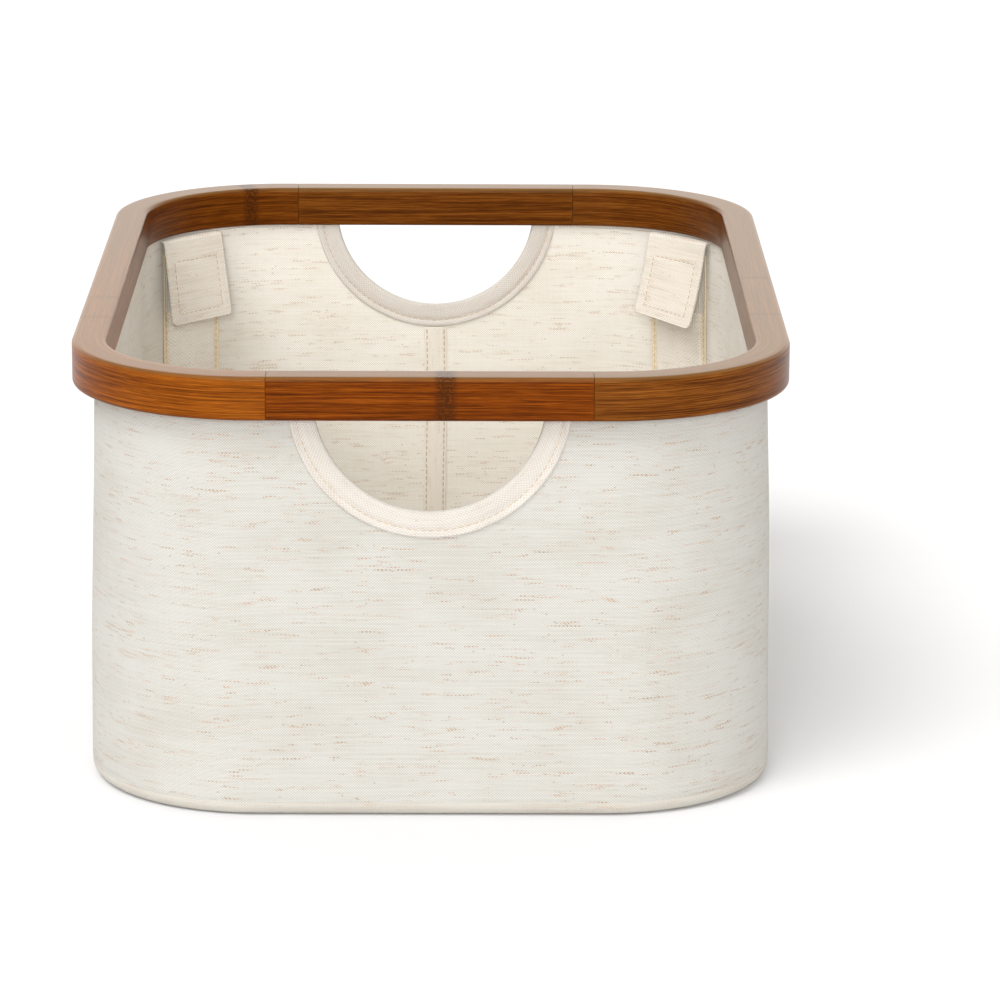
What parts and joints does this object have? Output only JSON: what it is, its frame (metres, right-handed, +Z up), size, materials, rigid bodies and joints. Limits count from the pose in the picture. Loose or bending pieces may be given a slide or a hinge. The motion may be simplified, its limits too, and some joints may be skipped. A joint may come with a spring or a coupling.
{
  "type": "fabric storage bin",
  "caption": "Rectangular cloth storage bin with rounded corners, a bent bamboo rim, a hand hole at each end and flap-closed corner rod sleeves.",
  "frame": {"origin": "on the floor, at the middle of the bin's base", "axes": "+Z up, +Y from the front end to the rear end along the bin's long side, +X to the right seen from the front"},
  "size_m": [0.33, 0.47, 0.206],
  "materials": {
    "bamboo": "stained bamboo, satin lacquer",
    "linen": "slubby plain weave, off-white with tan flecks",
    "lining": "slubby plain weave, cream",
    "tape": "folded cotton tape, stitched",
    "sleeve_cloth": "coarse plain weave",
    "board": "grey-brown board",
    "rod": "glass-fibre rod",
    "cap": "matt",
    "hook_and_loop": "hook-and-loop tape"
  },
  "bodies": {
    "root": {"rim_front_rail": "bamboo", "rim_rear_rail": "bamboo", "rim_left_bow": "bamboo", "rim_right_bow": "bamboo", "outer_wall": "linen", "wall_lining": "lining", "hem_tape": "tape", "base_cover": "linen", "base_board": "board", "base_lining": "lining", "front_handle_binding": "tape", "rear_handle_binding": "tape", "centre_seam_tape": "tape", "front_left_rod": "rod", "front_right_rod": "rod", "rear_left_rod": "rod", "rear_right_rod": "rod", "front_left_rod_caps": "cap", "front_right_rod_caps": "cap", "rear_left_rod_caps": "cap", "rear_right_rod_caps": "cap", "front_left_rod_sleeve": "sleeve_cloth", "front_right_rod_sleeve": "sleeve_cloth", "rear_left_rod_sleeve": "sleeve_cloth", "rear_right_rod_sleeve": "sleeve_cloth", "front_left_loop_patch": "hook_and_loop", "front_right_loop_patch": "hook_and_loop", "rear_left_loop_patch": "hook_and_loop", "rear_right_loop_patch": "hook_and_loop", "front_left_flap_root": "linen", "front_right_flap_root": "linen", "rear_left_flap_root": "linen", "rear_right_flap_root": "linen"},
    "flap_front_left": {"front_left_flap": "linen", "front_left_hook_patch": "hook_and_loop"},
    "flap_front_right": {"front_right_flap": "linen", "front_right_hook_patch": "hook_and_loop"},
    "flap_rear_left": {"rear_left_flap": "linen", "rear_left_hook_patch": "hook_and_loop"},
    "flap_rear_right": {"rear_right_flap": "linen", "rear_right_hook_patch": "hook_and_loop"}
  },
  "joints": [
    {"name": "front_left_flap_fold", "type": "hinge", "parent": "root", "child": "flap_front_left", "pos_m": [-0.12581, -0.19581, 0.1844], "axis": [0.7071, -0.7071, 0], "range_deg": [-8, 120]},
    {"name": "front_right_flap_fold", "type": "hinge", "parent": "root", "child": "flap_front_right", "pos_m": [0.12581, -0.19581, 0.1844], "axis": [0.7071, 0.7071, 0], "range_deg": [-8, 120]},
    {"name": "rear_left_flap_fold", "type": "hinge", "parent": "root", "child": "flap_rear_left", "pos_m": [-0.12581, 0.19581, 0.1844], "axis": [-0.7071, -0.7071, 0], "range_deg": [-8, 120]},
    {"name": "rear_right_flap_fold", "type": "hinge", "parent": "root", "child": "flap_rear_right", "pos_m": [0.12581, 0.19581, 0.1844], "axis": [-0.7071, 0.7071, 0], "range_deg": [-8, 120]}
  ]
}
